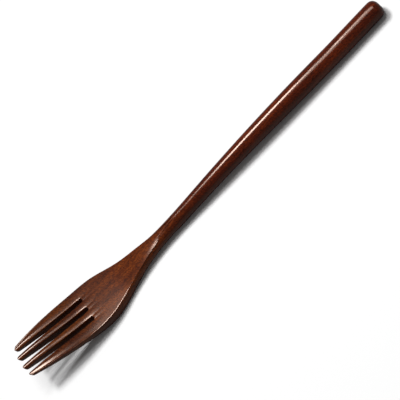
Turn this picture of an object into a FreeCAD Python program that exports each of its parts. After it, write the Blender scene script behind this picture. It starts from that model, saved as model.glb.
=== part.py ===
"""Four-tine fork carved from one billet of hardwood, in millimetres.

The fork lies face up on a table. +X runs from the tine tips to the butt of the handle and +Z is up.
The origin is on the table, under the middle of the fork's length and width.
The wood is first shaped with x measured from the tine tips, and is moved to the origin at the end.
"""

import FreeCAD
import Part

import math
import os

# Overall length, and where along it the fork is measured, from the tine tips
LENGTH = 230.0
MID_TINE_AT = 16.0
BEND_AT = 26.0
WIDEST_AT = 36.0
HEEL_AT = 48.0
SHOULDER_AT = 60.0
WAIST_AT = 75.0
RIDGE_AT = 89.0
FACE_END_AT = 97.0
NECK_AT = 106.0
ARCH_AT = 137.0
SWELL_BEFORE_BUTT = 19.0

# Width of the outline at those places
TIP_WIDTH = 18.4
MID_TINE_WIDTH = 23.6
HEAD_WIDTH = 26.4
HEEL_WIDTH = 25.2
SHOULDER_WIDTH = 18.3
WAIST_WIDTH = 10.6
RIDGE_BODY_WIDTH = 7.6
FACE_END_DIAMETER = 7.2
NECK_DIAMETER = 7.2
ARCH_DIAMETER = 8.0
SWELL_DIAMETER = 9.2
BUTT_DIAMETER = 9.15

# Height of the underside above the table, on which the shoulder, the waist and the butt lie
TIP_RISE = 13.1
MID_TINE_RISE = 7.7
BEND_RISE = 4.9
WIDEST_RISE = 2.3
HEEL_RISE = 0.35
RIDGE_RISE = 0.1
FACE_END_RISE = 0.35
NECK_RISE = 0.75
ARCH_RISE = 1.4
SWELL_RISE = 0.45

# Thickness of the wood, from the underside to the carved top face
TIP_THICKNESS = 2.1
MID_TINE_THICKNESS = 4.5
BEND_THICKNESS = 4.9
HEAD_THICKNESS = 5.2
HEEL_THICKNESS = 5.55
SHOULDER_THICKNESS = 5.2
WAIST_THICKNESS = 6.1
RIDGE_THICKNESS = 6.75

# The carved top face runs between two rims, and narrows to a ridge where it ends on the handle
RIM_INSET = 0.35
HEEL_RIM_INSET = 0.5
SHOULDER_RIM_INSET = 0.8
WAIST_RIM_INSET = 1.35
RIDGE_RIM_INSET = 2.85
TOP_CROWN = 0.12
RIDGE_WIDTH = 1.0

# The underside is a shallow keel between two edges, and rounds off along the waist
KEEL_INSET = 0.9
KEEL_LIFT = 0.35
WAIST_KEEL_INSET = 2.0
WAIST_KEEL_LIFT = 0.8
HANDLE_KEEL_ANGLE = 40.0

# Plain round butt that lies on the table, with a rounded end, a hair inside the carved handle
BUTT_LENGTH = 28.0
BUTT_ROUNDING = 3.2
BUTT_STEP = 0.02

# Slots between the tines, and the blunt tips
SLOT_LENGTH = 39.0
SLOT_WIDTH = 2.35
SLOT_PITCH = 6.1
SLOT_ROUNDING = 0.8
MIDDLE_TIP_GAP = 3.1
INNER_TIP_WIDTH = 2.7
OUTER_TIP_WIDTH = 2.65
TIP_ROUNDING = 1.2
OUTER_TIP_SETBACK = 0.9

# Room around the wood for the outline that cuts the tines
CUT_ROOM = 10.0
TIP_ROOM = 0.3
BLANK_OVERHANG = 0.5

# Longest steps between two sections, and the spans of the spline along each of their arcs
HEAD_STEP = 6.0
HANDLE_STEP = 8.0
ARC_SPANS = 8

# Places and sizes that follow from these
BUTT_AT = LENGTH - BUTT_LENGTH
SWELL_AT = BUTT_AT - SWELL_BEFORE_BUTT
BUTT_RADIUS = BUTT_DIAMETER / 2
KEEL_ANGLE = math.radians(HANDLE_KEEL_ANGLE)
FACE_END_RADIUS = FACE_END_DIAMETER / 2


def vec(x, y, z=0.0):
    return FreeCAD.Vector(x, y, z)


def spline(stations):
    """A smooth line through (x, value) stations, as a function of x."""
    curve = Part.BSplineCurve()
    points = [vec(x, value) for x, value in stations]
    curve.interpolate(Points=points, Parameters=[x for x, _ in stations])
    return lambda x: curve.value(x).y


half_width = spline(
    [
        (0, TIP_WIDTH / 2),
        (MID_TINE_AT, MID_TINE_WIDTH / 2),
        (WIDEST_AT, HEAD_WIDTH / 2),
        (HEEL_AT, HEEL_WIDTH / 2),
        (SHOULDER_AT, SHOULDER_WIDTH / 2),
        (WAIST_AT, WAIST_WIDTH / 2),
        (RIDGE_AT, RIDGE_BODY_WIDTH / 2),
        (FACE_END_AT, FACE_END_RADIUS),
        (NECK_AT, NECK_DIAMETER / 2),
        (ARCH_AT, ARCH_DIAMETER / 2),
        (SWELL_AT, SWELL_DIAMETER / 2),
        (BUTT_AT, BUTT_RADIUS),
        (LENGTH, BUTT_RADIUS),
    ]
)

underside = spline(
    [
        (0, TIP_RISE),
        (MID_TINE_AT, MID_TINE_RISE),
        (BEND_AT, BEND_RISE),
        (WIDEST_AT, WIDEST_RISE),
        (HEEL_AT, HEEL_RISE),
        (SHOULDER_AT, 0),
        (WAIST_AT, 0),
        (RIDGE_AT, RIDGE_RISE),
        (FACE_END_AT, FACE_END_RISE),
        (NECK_AT, NECK_RISE),
        (ARCH_AT, ARCH_RISE),
        (SWELL_AT, SWELL_RISE),
        (BUTT_AT, 0),
        (LENGTH, 0),
    ]
)

thickness = spline(
    [
        (0, TIP_THICKNESS),
        (MID_TINE_AT, MID_TINE_THICKNESS),
        (BEND_AT, BEND_THICKNESS),
        (WIDEST_AT, HEAD_THICKNESS),
        (HEEL_AT, HEEL_THICKNESS),
        (SHOULDER_AT, SHOULDER_THICKNESS),
        (WAIST_AT, WAIST_THICKNESS),
        (RIDGE_AT, RIDGE_THICKNESS),
        (FACE_END_AT, FACE_END_DIAMETER),
        (NECK_AT, NECK_DIAMETER),
    ]
)

rim_inset = spline(
    [
        (0, RIM_INSET),
        (WIDEST_AT, RIM_INSET),
        (HEEL_AT, HEEL_RIM_INSET),
        (SHOULDER_AT, SHOULDER_RIM_INSET),
        (WAIST_AT, WAIST_RIM_INSET),
        (RIDGE_AT, RIDGE_RIM_INSET),
        (FACE_END_AT, FACE_END_RADIUS - RIDGE_WIDTH / 2),
        (NECK_AT, NECK_DIAMETER / 2 - RIDGE_WIDTH / 2),
    ]
)

keel_inset = spline(
    [
        (0, KEEL_INSET),
        (WIDEST_AT, KEEL_INSET),
        (SHOULDER_AT, KEEL_INSET),
        (WAIST_AT, WAIST_KEEL_INSET),
        (FACE_END_AT, FACE_END_RADIUS * (1 - math.sin(KEEL_ANGLE))),
    ]
)

keel_lift = spline(
    [
        (0, KEEL_LIFT),
        (WIDEST_AT, KEEL_LIFT),
        (SHOULDER_AT, KEEL_LIFT),
        (WAIST_AT, WAIST_KEEL_LIFT),
        (FACE_END_AT, FACE_END_RADIUS * (1 - math.cos(KEEL_ANGLE))),
    ]
)


def even_spline(points, places):
    """A spline through points, one at each of places, so that splines with the same places match."""
    curve = Part.BSplineCurve()
    curve.interpolate(Points=points, Parameters=places)
    return curve


def arc_spline(start, middle, end):
    """An arc through three points, as a spline."""
    arc = Part.Arc(start, middle, end)
    first, last = arc.FirstParameter, arc.LastParameter
    shares = [i / ARC_SPANS for i in range(ARC_SPANS + 1)]
    return even_spline([arc.value(first + (last - first) * share) for share in shares], shares)


def section(x, rim, flank, keel, crown, low):
    """A closed section at x, as four splines: the top, the left flank, the underside and the right flank.

    rim, flank and keel are (half width, height) points. crown and low are the heights of the top and
    of the underside on the fork's middle line.
    """
    right, left = [[vec(x, side * y, z) for y, z in (rim, flank, keel)] for side in (-1, 1)]
    return [
        arc_spline(right[0], vec(x, 0, crown), left[0]),
        arc_spline(left[0], left[1], left[2]),
        arc_spline(left[2], vec(x, 0, low), right[2]),
        arc_spline(right[2], right[1], right[0]),
    ]


def carved_section(x):
    """The section of the tines, head or waist, flat on top."""
    low = underside(x)
    top = low + thickness(x)
    side = half_width(x)
    rim = (side - rim_inset(x), top - TOP_CROWN)
    keel = (side - keel_inset(x), low + keel_lift(x))
    return section(x, rim, (side, (low + top) / 2), keel, top, low)


def round_section(x):
    """The section of the handle, a circle that is split at the same four places."""
    radius = half_width(x)
    axis = underside(x) + radius
    ridge = RIDGE_WIDTH / 2
    rim = (ridge, axis + math.sqrt(radius**2 - ridge**2))
    keel = (radius * math.sin(KEEL_ANGLE), axis - radius * math.cos(KEEL_ANGLE))
    return section(x, rim, (radius, axis), keel, axis + radius, axis - radius)


def steps(start, end, longest):
    """Evenly spaced places from start up to, and without, end."""
    count = math.ceil((end - start) / longest)
    return [start + (end - start) * i / count for i in range(count)]


def skin(sides, places):
    """The smooth surface through one side of every section."""
    lengthwise = [even_spline(list(row), places) for row in zip(*[side.getPoles() for side in sides])]
    surface = Part.BSplineSurface()
    surface.buildFromPolesMultsKnots(
        [line.getPoles() for line in lengthwise],
        sides[0].getMultiplicities(),
        lengthwise[0].getMultiplicities(),
        sides[0].getKnots(),
        lengthwise[0].getKnots(),
        False,
        False,
        sides[0].Degree,
        lengthwise[0].Degree,
    )
    return surface.toShape()


def blank():
    """The carved billet from past the tips to the start of the butt, before its slots are cut."""
    carved_places = steps(-BLANK_OVERHANG, FACE_END_AT, HEAD_STEP)
    round_places = steps(FACE_END_AT, BUTT_AT, HANDLE_STEP) + [BUTT_AT]
    sections = [carved_section(x) for x in carved_places] + [round_section(x) for x in round_places]
    faces = [skin(sides, carved_places + round_places) for sides in zip(*sections)]
    for end in (sections[0], sections[-1]):
        faces.append(Part.Face(Part.Wire([side.toShape() for side in end])))
    shell = Part.Shell(faces)
    shell.sewShape()
    wood = Part.Solid(shell)
    if wood.Volume < 0:
        wood.reverse()
    return wood


def butt():
    """The plain round end of the handle."""
    rod = Part.makeCylinder(BUTT_RADIUS - BUTT_STEP, BUTT_LENGTH, vec(BUTT_AT, 0, BUTT_RADIUS), vec(1, 0))
    rim = [e for e in rod.Edges if e.Closed and abs(e.CenterOfMass.x - LENGTH) < BUTT_ROUNDING]
    return rod.makeFillet(BUTT_ROUNDING, rim)


def tine_edges():
    """Each tine seen from above, from -Y to +Y: (root low, root high, tip low, tip high, tip x)."""
    half_gap = MIDDLE_TIP_GAP / 2
    half_slot = SLOT_WIDTH / 2
    setback = OUTER_TIP_SETBACK
    outside = HEAD_WIDTH / 2 + CUT_ROOM
    tip_side = half_width(setback + TIP_ROUNDING)
    inner = (half_slot, SLOT_PITCH - half_slot, half_gap, half_gap + INNER_TIP_WIDTH, 0)
    outer = (SLOT_PITCH + half_slot, outside, tip_side - OUTER_TIP_WIDTH, tip_side + TIP_ROOM, setback)
    mirrored = [(-high, -low, -tip_high, -tip_low, x) for low, high, tip_low, tip_high, x in (outer, inner)]
    return mirrored + [inner, outer]


def comb():
    """The tines' outline, carried past the wood everywhere but at the slots and tips."""
    tines = tine_edges()
    edges = []
    for i, (low, high, tip_low, tip_high, tip) in enumerate(tines):
        start = vec(SLOT_LENGTH, low)
        near = vec(tip + TIP_ROUNDING, tip_low)
        nose = vec(tip, (tip_low + tip_high) / 2)
        far = vec(tip + TIP_ROUNDING, tip_high)
        end = vec(SLOT_LENGTH, high)
        edges += [Part.LineSegment(start, near), Part.Arc(near, nose, far), Part.LineSegment(far, end)]
        if i + 1 < len(tines):
            next_low = tines[i + 1][0]
            root = vec(SLOT_LENGTH + SLOT_ROUNDING, (high + next_low) / 2)
            edges.append(Part.Arc(end, root, vec(SLOT_LENGTH, next_low)))
    right = vec(SLOT_LENGTH, tines[0][0])
    left = vec(SLOT_LENGTH, tines[-1][1])
    behind = vec(LENGTH + CUT_ROOM, 0)
    far_left = vec(behind.x, left.y)
    far_right = vec(behind.x, right.y)
    edges += [Part.LineSegment(left, far_left), Part.LineSegment(far_left, far_right)]
    edges.append(Part.LineSegment(far_right, right))
    outline = Part.Wire([edge.toShape() for edge in edges])
    face = Part.Face(outline)
    face.translate(vec(0, 0, -CUT_ROOM))
    return face.extrude(vec(0, 0, TIP_RISE + 3 * CUT_ROOM))


def fork():
    """The whole fork, with its origin on the table under its middle."""
    wood = blank().fuse(butt()).common(comb())
    box = wood.optimalBoundingBox(False, False)
    wood.translate(vec(-(box.XMin + box.XMax) / 2, -(box.YMin + box.YMax) / 2, -box.ZMin))
    return wood


os.makedirs("parts", exist_ok=True)
shape = fork()
shape.exportStep("parts/fork_body.step")

box = shape.optimalBoundingBox(False, False)
plain = [f for f in shape.Faces if f.Surface.TypeId == "Part::GeomCylinder" and abs(f.Surface.Axis.x) > 0.9]
print("solids", len(shape.Solids), "faces", len(shape.Faces), "valid", shape.isValid())
print("volume", round(shape.Volume, 1), "mm3")
print("low corner", round(box.XMin, 3), round(box.YMin, 3), round(box.ZMin, 3))
print("high corner", round(box.XMax, 3), round(box.YMax, 3), round(box.ZMax, 3))
for face in plain:
    rod = face.Surface
    print("butt radius", round(rod.Radius, 3), "on its axis", rod.Center, "along", rod.Axis)
    print("butt from x", round(face.BoundBox.XMin, 3), "to", round(face.BoundBox.XMax, 3))
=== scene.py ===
"""A four-tine fork carved from one billet of hardwood and lacquered, lying face up on a pale table.

The fork's sizes are in millimetres, with x measured from the tine tips, and become metres in the mesh.
"""

import math

import bmesh
import bpy
import numpy as np
from mathutils import Matrix, Vector


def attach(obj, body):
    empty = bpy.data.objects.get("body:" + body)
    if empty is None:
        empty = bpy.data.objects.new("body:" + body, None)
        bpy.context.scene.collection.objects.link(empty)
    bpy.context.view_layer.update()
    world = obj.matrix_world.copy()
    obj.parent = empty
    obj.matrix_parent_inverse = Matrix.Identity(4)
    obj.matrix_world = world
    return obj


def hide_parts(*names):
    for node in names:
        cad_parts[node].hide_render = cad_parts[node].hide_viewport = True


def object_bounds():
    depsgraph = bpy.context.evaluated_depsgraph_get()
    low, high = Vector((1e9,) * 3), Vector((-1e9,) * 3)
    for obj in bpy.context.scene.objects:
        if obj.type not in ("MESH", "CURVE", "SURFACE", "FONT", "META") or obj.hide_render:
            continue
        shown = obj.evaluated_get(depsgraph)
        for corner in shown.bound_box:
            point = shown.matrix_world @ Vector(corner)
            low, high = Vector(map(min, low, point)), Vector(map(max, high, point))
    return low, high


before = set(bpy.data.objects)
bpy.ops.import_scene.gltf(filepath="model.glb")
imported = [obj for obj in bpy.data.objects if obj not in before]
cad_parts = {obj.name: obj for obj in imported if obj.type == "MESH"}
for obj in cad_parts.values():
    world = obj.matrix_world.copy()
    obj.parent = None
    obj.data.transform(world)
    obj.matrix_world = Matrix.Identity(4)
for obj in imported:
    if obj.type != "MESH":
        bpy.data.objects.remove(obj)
cad_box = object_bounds()

MM = 0.001

# Overall length, and where along it the fork is measured, from the tine tips
LENGTH = 230.0
MID_TINE_AT = 16.0
BEND_AT = 26.0
WIDEST_AT = 36.0
HEEL_AT = 48.0
SHOULDER_AT = 60.0
WAIST_AT = 75.0
RIDGE_AT = 89.0
FACE_END_AT = 97.0
NECK_AT = 106.0
ARCH_AT = 137.0
SWELL_BEFORE_BUTT = 19.0
BUTT_LENGTH = 28.0
BUTT_AT = LENGTH - BUTT_LENGTH
SWELL_AT = BUTT_AT - SWELL_BEFORE_BUTT

# Widths of the tines, head and waist, and diameters of the round handle
TIP_WIDTH = 18.4
MID_TINE_WIDTH = 23.6
HEAD_WIDTH = 26.4
HEEL_WIDTH = 25.2
SHOULDER_WIDTH = 18.3
WAIST_WIDTH = 10.6
RIDGE_BODY_WIDTH = 7.6
FACE_END_DIAMETER = 7.2
NECK_DIAMETER = 7.2
ARCH_DIAMETER = 8.0
SWELL_DIAMETER = 9.2
BUTT_DIAMETER = 9.15
BUTT_RADIUS = BUTT_DIAMETER / 2
BUTT_ROUNDING = 3.2

# How high the underside is above the table; the shoulder, the waist and the butt rest on it
TIP_RISE = 13.1
MID_TINE_RISE = 7.7
BEND_RISE = 4.9
WIDEST_RISE = 2.3
HEEL_RISE = 0.35
RIDGE_RISE = 0.1
FACE_END_RISE = 0.35
NECK_RISE = 0.75
ARCH_RISE = 1.4
SWELL_RISE = 0.45

# Thickness from the underside to the carved face
TIP_THICKNESS = 2.1
MID_TINE_THICKNESS = 4.5
BEND_THICKNESS = 4.9
HEAD_THICKNESS = 5.2
HEEL_THICKNESS = 5.55
SHOULDER_THICKNESS = 5.2
WAIST_THICKNESS = 6.1
RIDGE_THICKNESS = 6.75

# How far in from the widest place the face's rim runs, and half the width of the ridge where the face ends
RIM_INSET = 0.35
HEEL_RIM_INSET = 0.5
SHOULDER_RIM_INSET = 0.8
WAIST_RIM_INSET = 1.35
RIDGE_RIM_INSET = 2.85
RIDGE_HALF = 0.5

# The shallow keel below: how far in from the sides it turns up, and by how much
KEEL_INSET = 0.9
KEEL_LIFT = 0.35
WAIST_KEEL_INSET = 2.0
WAIST_KEEL_LIFT = 0.8
KEEL_ANGLE = math.radians(40.0)

# The crown of the face, and the soft crown of each tine, which grows by a share towards its tip
FACE_CROWN = 0.12
TINE_CROWN = 0.5
TIP_CROWN_GAIN = 0.5

# Slots and tips
SLOT_LENGTH = 39.0
SLOT_WIDTH = 2.35
SLOT_PITCH = 6.1
SLOT_ROUNDING = 0.8
MIDDLE_TIP_GAP = 3.1
INNER_TIP_WIDTH = 2.7
OUTER_TIP_WIDTH = 2.65
TIP_ROUNDING = 1.2
OUTER_TIP_SETBACK = 0.9

# How far from an edge the next line of the mesh runs, which sets how soft the sanded edge is
EDGE_EASE = 0.4

# How far back from the tips their curve is felt in the rows of the mesh
TIP_FADE = 8.0

# Lines of the mesh along the face: five on each tine, from edge to edge, and one down each slot's middle
TINE_LINES = 4
PITCH_LINES = 6
LAST_LINE = 3 * PITCH_LINES + TINE_LINES
TINE_PLACES = (-1, -0.7, 0, 0.7, 1, 0)

# Levels of the mesh down each flank, from the face to the underside, and the lines around the round handle
FLANK_SHARES = (0, 0.1, 0.3, 0.5, 0.7, 0.9, 1)
LAST_LEVEL = len(FLANK_SHARES) - 1
RING_LINES = 2 * LAST_LINE + 2 * LAST_LEVEL

# Rows of the mesh across the fork: close together on the tips and at the slots' ends, and even elsewhere
TIP_ROWS = (0, 0.5, 1.6, 3.3, 5.4)
TINE_ROWS_FROM = 7.6
TINE_ROW_STEP = 2.1
TINE_ROW_COUNT = 15
ROW_BEFORE_SLOT_END = 0.4
ROW_AFTER_SLOT_END = 0.3
SLOT_END_REACH = 2.0
HEAD_ROWS_FROM = 43.0
HEAD_ROW_STEP = 2.5
HEAD_ROW_COUNT = 22
HANDLE_ROW_COUNT = 34
BUTT_ROW_COUNT = 8

# Rows around the butt's rounding, as angles in degrees, and the size of the last ring beside the flat end
END_ANGLES = (22, 45, 68, 90)
END_DISC_SHARE = 0.8


def smooth_line(stations):
    """A smooth line through (x, value) stations, as a function of x.

    It bends evenly at each station. Each end has the slope of the cubic through the four nearest stations.
    """
    places, values = np.array(stations, float).T
    gaps = np.diff(places)
    rises = np.diff(values) / gaps
    size = len(places)
    rows = np.zeros((size, size))
    right = np.zeros(size)
    for end, near in ((0, slice(0, 4)), (size - 1, slice(size - 4, size))):
        rows[end, end] = 1
        right[end] = np.polyval(np.polyder(np.polyfit(places[near], values[near], 3)), places[end])
    for i in range(1, size - 1):
        rows[i, i - 1 : i + 2] = (gaps[i], 2 * (gaps[i - 1] + gaps[i]), gaps[i - 1])
        right[i] = 3 * (gaps[i] * rises[i - 1] + gaps[i - 1] * rises[i])
    slopes = np.linalg.solve(rows, right)

    def value(x):
        i = int(np.clip(np.searchsorted(places, x) - 1, 0, size - 2))
        t = (x - places[i]) / gaps[i]
        start = values[i] * (1 + 2 * t) * (1 - t) ** 2 + slopes[i] * gaps[i] * t * (1 - t) ** 2
        end = values[i + 1] * t * t * (3 - 2 * t) + slopes[i + 1] * gaps[i] * t * t * (t - 1)
        return float(start + end)

    return value


half_width = smooth_line(
    [
        (0, TIP_WIDTH / 2),
        (MID_TINE_AT, MID_TINE_WIDTH / 2),
        (WIDEST_AT, HEAD_WIDTH / 2),
        (HEEL_AT, HEEL_WIDTH / 2),
        (SHOULDER_AT, SHOULDER_WIDTH / 2),
        (WAIST_AT, WAIST_WIDTH / 2),
        (RIDGE_AT, RIDGE_BODY_WIDTH / 2),
        (FACE_END_AT, FACE_END_DIAMETER / 2),
        (NECK_AT, NECK_DIAMETER / 2),
        (ARCH_AT, ARCH_DIAMETER / 2),
        (SWELL_AT, SWELL_DIAMETER / 2),
        (BUTT_AT, BUTT_RADIUS),
        (LENGTH, BUTT_RADIUS),
    ]
)

underside = smooth_line(
    [
        (0, TIP_RISE),
        (MID_TINE_AT, MID_TINE_RISE),
        (BEND_AT, BEND_RISE),
        (WIDEST_AT, WIDEST_RISE),
        (HEEL_AT, HEEL_RISE),
        (SHOULDER_AT, 0),
        (WAIST_AT, 0),
        (RIDGE_AT, RIDGE_RISE),
        (FACE_END_AT, FACE_END_RISE),
        (NECK_AT, NECK_RISE),
        (ARCH_AT, ARCH_RISE),
        (SWELL_AT, SWELL_RISE),
        (BUTT_AT, 0),
        (LENGTH, 0),
    ]
)

thickness = smooth_line(
    [
        (0, TIP_THICKNESS),
        (MID_TINE_AT, MID_TINE_THICKNESS),
        (BEND_AT, BEND_THICKNESS),
        (WIDEST_AT, HEAD_THICKNESS),
        (HEEL_AT, HEEL_THICKNESS),
        (SHOULDER_AT, SHOULDER_THICKNESS),
        (WAIST_AT, WAIST_THICKNESS),
        (RIDGE_AT, RIDGE_THICKNESS),
        (FACE_END_AT, FACE_END_DIAMETER),
        (NECK_AT, NECK_DIAMETER),
    ]
)

rim_inset = smooth_line(
    [
        (0, RIM_INSET),
        (WIDEST_AT, RIM_INSET),
        (HEEL_AT, HEEL_RIM_INSET),
        (SHOULDER_AT, SHOULDER_RIM_INSET),
        (WAIST_AT, WAIST_RIM_INSET),
        (RIDGE_AT, RIDGE_RIM_INSET),
        (FACE_END_AT, FACE_END_DIAMETER / 2 - RIDGE_HALF),
        (NECK_AT, NECK_DIAMETER / 2 - RIDGE_HALF),
    ]
)

keel_inset = smooth_line(
    [
        (0, KEEL_INSET),
        (WIDEST_AT, KEEL_INSET),
        (SHOULDER_AT, KEEL_INSET),
        (WAIST_AT, WAIST_KEEL_INSET),
        (FACE_END_AT, FACE_END_DIAMETER / 2 * (1 - math.sin(KEEL_ANGLE))),
    ]
)

keel_lift = smooth_line(
    [
        (0, KEEL_LIFT),
        (WIDEST_AT, KEEL_LIFT),
        (SHOULDER_AT, KEEL_LIFT),
        (WAIST_AT, WAIST_KEEL_LIFT),
        (FACE_END_AT, FACE_END_DIAMETER / 2 * (1 - math.cos(KEEL_ANGLE))),
    ]
)


def ease(x, start, end):
    """Rises smoothly from 0 at start to 1 at end."""
    t = min(max((x - start) / (end - start), 0), 1)
    return t * t * (3 - 2 * t)


def mix(a, b, share):
    """The value a share of the way from a to b."""
    return a + (b - a) * share


def arc(start, middle, end):
    """The circle through three points, as a function of the share of the way from start to end."""
    (ax, ay), (bx, by), (cx, cy) = start, middle, end
    twice = 2 * (ax * (by - cy) + bx * (cy - ay) + cx * (ay - by))
    a, b, c = ax * ax + ay * ay, bx * bx + by * by, cx * cx + cy * cy
    x = (a * (by - cy) + b * (cy - ay) + c * (ay - by)) / twice
    y = (a * (cx - bx) + b * (ax - cx) + c * (bx - ax)) / twice
    radius = math.hypot(ax - x, ay - y)
    first = math.atan2(ay - y, ax - x)
    turn = math.remainder(math.atan2(by - y, bx - x) - first, math.tau)
    turn += math.remainder(math.atan2(cy - y, cx - x) - first - turn, math.tau)

    def place(share):
        angle = first + turn * share
        return x + radius * math.cos(angle), y + radius * math.sin(angle)

    return place


def face_places(x, side):
    """Where the mesh's lines cross the wood at x, from -side to side, with the slots' edges between."""
    root_half = SLOT_WIDTH / 2
    tip_side = half_width(OUTER_TIP_SETBACK + TIP_ROUNDING)
    along = min(max((x - TIP_ROUNDING) / (SLOT_LENGTH - TIP_ROUNDING), 0), 1)
    inner = (
        mix(MIDDLE_TIP_GAP / 2, root_half, along),
        mix(MIDDLE_TIP_GAP / 2 + INNER_TIP_WIDTH, SLOT_PITCH - root_half, along),
    )
    outer = (mix(tip_side - OUTER_TIP_WIDTH, SLOT_PITCH + root_half, along), side)
    left = []
    for low, high in (inner, outer):
        hold = min(EDGE_EASE, (high - low) / 4)
        left += [low, low + hold, (low + high) / 2, high - hold, high, (inner[1] + outer[0]) / 2]
    left.pop()
    tines = [-y for y in reversed(left)] + [0] + left
    even = [side * (2 * i / LAST_LINE - 1) for i in range(LAST_LINE + 1)]
    even[1] = tines[1]
    even[-2] = tines[-2]
    spread = ease(x, SLOT_LENGTH + SLOT_END_REACH, SHOULDER_AT)
    return [mix(a, b, spread) for a, b in zip(tines, even)]


def tip_offset(x, line):
    """How far behind a row the mesh's corner lies, so that each tine ends in its own blunt curve."""
    across = TINE_PLACES[line % PITCH_LINES]
    blunt = TIP_ROUNDING * (1 - math.sqrt(1 - across**2))
    outside = line < TINE_LINES + 1 or line > LAST_LINE - TINE_LINES - 1
    return (blunt + outside * OUTER_TIP_SETBACK) * (1 - ease(x, 0, TIP_FADE))


def carved_corner(x, line, level):
    """The side and height of a corner on the tines, head or waist, at a level between face and underside."""
    low = underside(x)
    top = low + thickness(x)
    side = half_width(x)
    rim = side - rim_inset(x)
    keel = side - keel_inset(x)
    share = FLANK_SHARES[level]
    if line in (0, LAST_LINE):
        flank = arc((rim, top - FACE_CROWN), (side, (low + top) / 2), (keel, low + keel_lift(x)))
        y, z = flank(share)
        return (y if line else -y), z
    over = face_places(x, rim)[line]
    under = face_places(x, keel)[line]
    crown = TINE_CROWN * TINE_PLACES[line % PITCH_LINES] ** 2 * (1 - ease(x, MID_TINE_AT, HEEL_AT))
    crown *= 1 + TIP_CROWN_GAIN * (1 - ease(x, 0, MID_TINE_AT))
    face = top - FACE_CROWN * (over / rim) ** 2 - crown
    back = low + keel_lift(x) * (under / keel) ** 2
    return mix(over, under, share), mix(face, back, share)


def round_corner(x, radius, line, level):
    """The side and height of a corner on the round handle, from the handle's axis."""
    if 0 < level < LAST_LEVEL and line not in (0, LAST_LINE):
        over = round_corner(x, radius, line, 0)
        under = round_corner(x, radius, line, LAST_LEVEL)
        return [mix(a, b, FLANK_SHARES[level]) for a, b in zip(over, under)]
    ridge = math.asin(RIDGE_HALF / radius)
    across = 2 * line / LAST_LINE - 1
    if level == 0:
        angle = ridge * across
        place = line
    elif level == LAST_LEVEL:
        angle = math.pi - KEEL_ANGLE * across
        place = 2 * LAST_LINE + LAST_LEVEL - line
    else:
        angle = mix(ridge, math.pi - KEEL_ANGLE, FLANK_SHARES[level]) * (1 if line else -1)
        place = LAST_LINE + level if line else RING_LINES - level
    even = math.tau * (place - LAST_LINE / 2) / RING_LINES
    turn = angle + math.remainder(even - angle, math.tau) * ease(x, FACE_END_AT, ARCH_AT)
    return radius * math.sin(turn), radius * math.cos(turn)


def corner(row, line, level):
    """Where a corner of the mesh is, in millimetres from the tine tips."""
    x, radius = ROWS[row]
    if radius is None:
        if row < ROOT_ROW:
            x += tip_offset(x, line)
        elif row in (ROOT_ROW, ROOT_ROW + 1) and line % PITCH_LINES == TINE_LINES + 1:
            x += SLOT_ROUNDING
        y, z = carved_corner(x, line, level)
        return x, y, z
    y, up = round_corner(x, radius, line, level)
    axis = BUTT_RADIUS if x > BUTT_AT else underside(x) + radius
    return x, y, axis + up


def carved_rows():
    """Where the rows on the tines are, and those on the head and waist."""
    tines = [*TIP_ROWS]
    tines += [TINE_ROWS_FROM + TINE_ROW_STEP * i for i in range(TINE_ROW_COUNT)]
    tines += [SLOT_LENGTH - ROW_BEFORE_SLOT_END]
    head = [SLOT_LENGTH, SLOT_LENGTH + ROW_AFTER_SLOT_END, SLOT_LENGTH + SLOT_END_REACH]
    head += [HEAD_ROWS_FROM + HEAD_ROW_STEP * i for i in range(HEAD_ROW_COUNT)]
    return tines, head


def round_rows():
    """Where the rows on the round handle are, each with its radius."""
    rows = [(x, half_width(x)) for x in np.linspace(FACE_END_AT, BUTT_AT, HANDLE_ROW_COUNT)]
    rows += [(x, BUTT_RADIUS) for x in np.linspace(BUTT_AT, LENGTH - BUTT_ROUNDING, BUTT_ROW_COUNT)[1:]]
    for angle in map(math.radians, END_ANGLES):
        x = LENGTH - BUTT_ROUNDING * (1 - math.sin(angle))
        rows.append((x, BUTT_RADIUS - BUTT_ROUNDING * (1 - math.cos(angle))))
    rows.append((LENGTH, (BUTT_RADIUS - BUTT_ROUNDING) * END_DISC_SHARE))
    return rows


tine_rows, head_rows = carved_rows()
ROWS = [(x, None) for x in tine_rows + head_rows] + round_rows()
ROOT_ROW = len(tine_rows)


def is_wood(row, line):
    """Whether wood fills the stretch between a row and line and the next ones."""
    slot = row < ROOT_ROW and line % PITCH_LINES >= TINE_LINES
    return 0 <= row < len(ROWS) - 1 and 0 <= line < LAST_LINE and not slot


def fork_mesh():
    """The whole fork, as the four-sided faces that bound its wood."""
    mesh = bmesh.new()
    corners = {}
    tips = cad_box[0][0]
    around = ((0, 0), (1, 0), (1, 1), (0, 1))

    def vert(*place):
        if place not in corners:
            x, y, z = corner(*place)
            corners[place] = mesh.verts.new((tips + x * MM, y * MM, z * MM))
        return corners[place]

    for row in range(len(ROWS)):
        for line in range(LAST_LINE + 1):
            here = is_wood(row, line)
            if here:
                for level in (0, LAST_LEVEL):
                    mesh.faces.new([vert(row + a, line + b, level) for a, b in around])
            for level in range(LAST_LEVEL):
                if here != is_wood(row, line - 1):
                    mesh.faces.new([vert(row + a, line, level + b) for a, b in around])
                if here != is_wood(row - 1, line):
                    mesh.faces.new([vert(row, line + a, level + b) for a, b in around])
    bmesh.ops.recalc_face_normals(mesh, faces=mesh.faces)
    data = bpy.data.meshes.new("fork")
    mesh.to_mesh(data)
    mesh.free()
    data.shade_smooth()
    return data


def linear(hex_colour):
    """A colour from its sRGB hex value."""
    parts = [int(hex_colour[i : i + 2], 16) / 255 for i in (0, 2, 4)]
    return [p / 12.92 if p <= 0.04045 else ((p + 0.055) / 1.055) ** 2.4 for p in parts] + [1]


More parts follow.
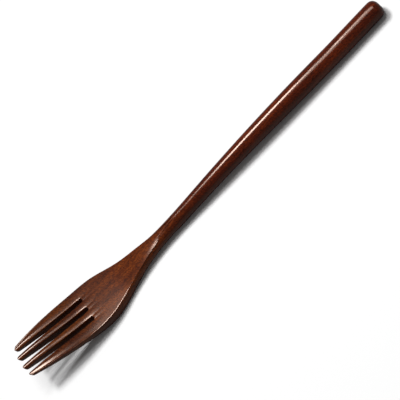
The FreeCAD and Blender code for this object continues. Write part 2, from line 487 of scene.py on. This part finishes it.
def node(tree, kind, settings=None, links=None, **values):
    """Adds a node with its settings, its sockets' values and the links that feed it."""
    made = tree.nodes.new(kind)
    for name, value in (settings or {}).items():
        setattr(made, name, value)
    for name, value in values.items():
        made.inputs[name.replace("_", " ")].default_value = value
    for name, source in (links or {}).items():
        tree.links.new(source, made.inputs[name])
    return made


# The wood's finish: how far its figure darkens it, and its narrow, faintly warm gloss
FIGURE_STRENGTH = 0.8
GLOSS_ROUGHNESS = 0.17
GLOSS_TINT = "ffe2d0"


def lacquered_wood():
    """Stained hardwood under clear lacquer: dark pores and curly flecks in a red-brown, with a narrow gloss.

    The grain runs along the fork. Each layer of it is noise, with the size of its spots in millimetres. The
    cooler tint of the tines is painted sheen.
    """
    material = bpy.data.materials.new("lacquered hardwood")
    material.use_nodes = True
    tree = material.node_tree
    shader = tree.nodes["Principled BSDF"]
    place = node(tree, "ShaderNodeTexCoord").outputs["Object"]

    def grain(length, width, detail, turn=0.0):
        """Noise in spots so many millimetres long and wide, which lean by turn degrees across the face."""
        lean = node(tree, "ShaderNodeMapping", None, {"Vector": place}, Rotation=(0, 0, math.radians(turn)))
        scale = [1 / (size * MM) for size in (length, width, width)]
        spots = node(tree, "ShaderNodeMapping", None, {"Vector": lean.outputs[0]}, Scale=scale)
        links = {"Vector": spots.outputs[0]}
        return node(tree, "ShaderNodeTexNoise", None, links, Scale=1, Detail=detail).outputs[0]

    def ramp(factor, *stops):
        """The colour that a factor stands for, between (factor, sRGB hex) stops."""
        made = node(tree, "ShaderNodeValToRGB", None, {"Fac": factor})
        while len(made.color_ramp.elements) < len(stops):
            made.color_ramp.elements.new(1)
        for element, (where, colour) in zip(made.color_ramp.elements, stops):
            element.position = where
            element.color = linear(colour)
        return made.outputs["Color"]

    def darkened(colour, layer, strength):
        """A colour with another multiplied over it."""
        links = {"Color1": colour, "Color2": layer}
        return node(tree, "ShaderNodeMixRGB", {"blend_type": "MULTIPLY"}, links, Fac=strength).outputs[0]

    bands = ramp(grain(length=50, width=4, detail=2), (0.35, "6a2b07"), (0.65, "8f4510"))
    fibres = ramp(grain(length=7, width=0.35, detail=3), (0.3, "8c7468"), (0.7, "ffffff"))
    curls = ramp(grain(length=1.3, width=0.6, detail=3, turn=40), (0.38, "a4836c"), (0.62, "ffffff"))
    pores = ramp(grain(length=1.6, width=0.2, detail=1), (0.33, "5a4030"), (0.42, "ffffff"))
    along = node(tree, "ShaderNodeSeparateXYZ", None, {"Vector": place}).outputs["X"]
    end = LENGTH / 2 * MM
    share = node(tree, "ShaderNodeMapRange", None, {"Value": along}, From_Min=-end, From_Max=end).outputs[0]
    # The stain is a darker red along the handle, which is the wood's own tone; its cooler, greyer tint on
    # the tines is painted sheen
    stain_and_painted_sheen = ramp(share, (0.13, "dceaff"), (0.24, "ffffff"), (0.34, "ffffff"), (0.5, "e1b4b4"))
    colour = darkened(bands, stain_and_painted_sheen, 1.0)
    for layer in (fibres, curls, pores):
        colour = darkened(colour, layer, FIGURE_STRENGTH)
    tree.links.new(colour, shader.inputs["Base Color"])
    shader.inputs["Roughness"].default_value = GLOSS_ROUGHNESS
    shader.inputs["Specular Tint"].default_value = linear(GLOSS_TINT)
    return material


fork = bpy.data.objects.new("fork", fork_mesh())
bpy.context.scene.collection.objects.link(fork)
rounding = fork.modifiers.new("sanded edges", "SUBSURF")
rounding.levels = rounding.render_levels = 2
fork.data.materials.append(lacquered_wood())
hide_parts("fork_body")
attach(fork, "root")


# The table top's half length in metres, its colour to the camera and its duller colour to the fork
TABLE_HALF = 0.8
TABLE_SEEN = "fafafa"
TABLE_BOUNCE = "8c8c8c"


def pale_table():
    """A matt white table top, which the camera sees as white wherever no shadow falls."""
    material = bpy.data.materials.new("matt white table")
    material.use_nodes = True
    tree = material.node_tree
    shader = tree.nodes["Principled BSDF"]
    to_camera = node(tree, "ShaderNodeLightPath").outputs["Is Camera Ray"]
    colours = {"Color1": linear(TABLE_BOUNCE), "Color2": linear(TABLE_SEEN)}
    seen = node(tree, "ShaderNodeMixRGB", None, {"Fac": to_camera}, **colours)
    tree.links.new(seen.outputs[0], shader.inputs["Base Color"])
    shader.inputs["Roughness"].default_value = 1.0
    shader.inputs["Specular IOR Level"].default_value = 0.0
    return material


table = bpy.data.meshes.new("table")
sides = ((-1, -1), (1, -1), (1, 1), (-1, 1))
table.from_pydata([(x * TABLE_HALF, y * TABLE_HALF, 0) for x, y in sides], [], [(0, 1, 2, 3)])
table_top = bpy.data.objects.new("table", table)
bpy.context.scene.collection.objects.link(table_top)
table.materials.append(pale_table())

STUDIO_STRENGTH = 0.15

world = bpy.data.worlds.new("soft studio")
world.use_nodes = True
world.node_tree.nodes["Background"].inputs["Color"].default_value = (1, 1, 1, 1)
world.node_tree.nodes["Background"].inputs["Strength"].default_value = STUDIO_STRENGTH
bpy.context.scene.world = world


def direction(azimuth, elevation):
    """The way to a place seen from the fork, with azimuth 0 in front of it, at -Y, and 90 at +X."""
    a, e = math.radians(azimuth), math.radians(elevation)
    return Vector((math.sin(a) * math.cos(e), -math.cos(a) * math.cos(e), math.sin(e)))


def softbox(name, azimuth, elevation, away, length, width, watts):
    """A lamp that faces the fork, with its length along the fork's."""
    lamp = bpy.data.lights.new(name, "AREA")
    lamp.shape = "RECTANGLE"
    lamp.size = length
    lamp.size_y = width
    lamp.energy = watts
    holder = bpy.data.objects.new(name, lamp)
    bpy.context.scene.collection.objects.link(holder)
    way = direction(azimuth, elevation)
    across = way.cross(Vector((1, 0, 0))).normalized()
    turn = Matrix((across.cross(way), across, way)).transposed().to_4x4()
    holder.matrix_world = Matrix.Translation(way * away) @ turn


softbox("key softbox", azimuth=200, elevation=68, away=3, length=0.64, width=0.85, watts=62)
softbox("overhead softbox", azimuth=121, elevation=76.5, away=1.2, length=0.42, width=0.5, watts=4.6)

# The camera, at the photograph's angle: its pixels and places are the photograph's own
PHOTO_SIZE = 400
FOCAL_PIXELS = 1553
CAMERA_AWAY = 0.7
CAMERA_AZIMUTH = 16.9
CAMERA_ELEVATION = 50.8
CAMERA_ROLL = 59.74
AIM_HEIGHT = 0.0055
AIM_PIXEL = (200.63, 191.68)


def place_camera():
    """Sets the camera, turned about its own line of sight and then moved sideways to frame the fork."""
    lens = bpy.data.cameras.new("camera")
    lens.lens = lens.sensor_width * FOCAL_PIXELS / PHOTO_SIZE
    lens.clip_start = 0.01
    camera = bpy.data.objects.new("camera", lens)
    bpy.context.scene.collection.objects.link(camera)
    back = direction(CAMERA_AZIMUTH, CAMERA_ELEVATION)
    level = Vector((math.cos(math.radians(CAMERA_AZIMUTH)), math.sin(math.radians(CAMERA_AZIMUTH)), 0))
    upright = back.cross(level)
    roll = math.radians(CAMERA_ROLL)
    right = math.cos(roll) * level - math.sin(roll) * upright
    up = math.sin(roll) * level + math.cos(roll) * upright
    pixel = CAMERA_AWAY / FOCAL_PIXELS
    centre = PHOTO_SIZE / 2
    aim = Vector((0, 0, AIM_HEIGHT))
    aim -= right * (AIM_PIXEL[0] - centre) * pixel
    aim += up * (AIM_PIXEL[1] - centre) * pixel
    turn = Matrix((right, up, back)).transposed().to_4x4()
    camera.matrix_world = Matrix.Translation(aim + back * CAMERA_AWAY) @ turn
    bpy.context.scene.camera = camera


place_camera()
bpy.context.scene.view_settings.view_transform = "Standard"
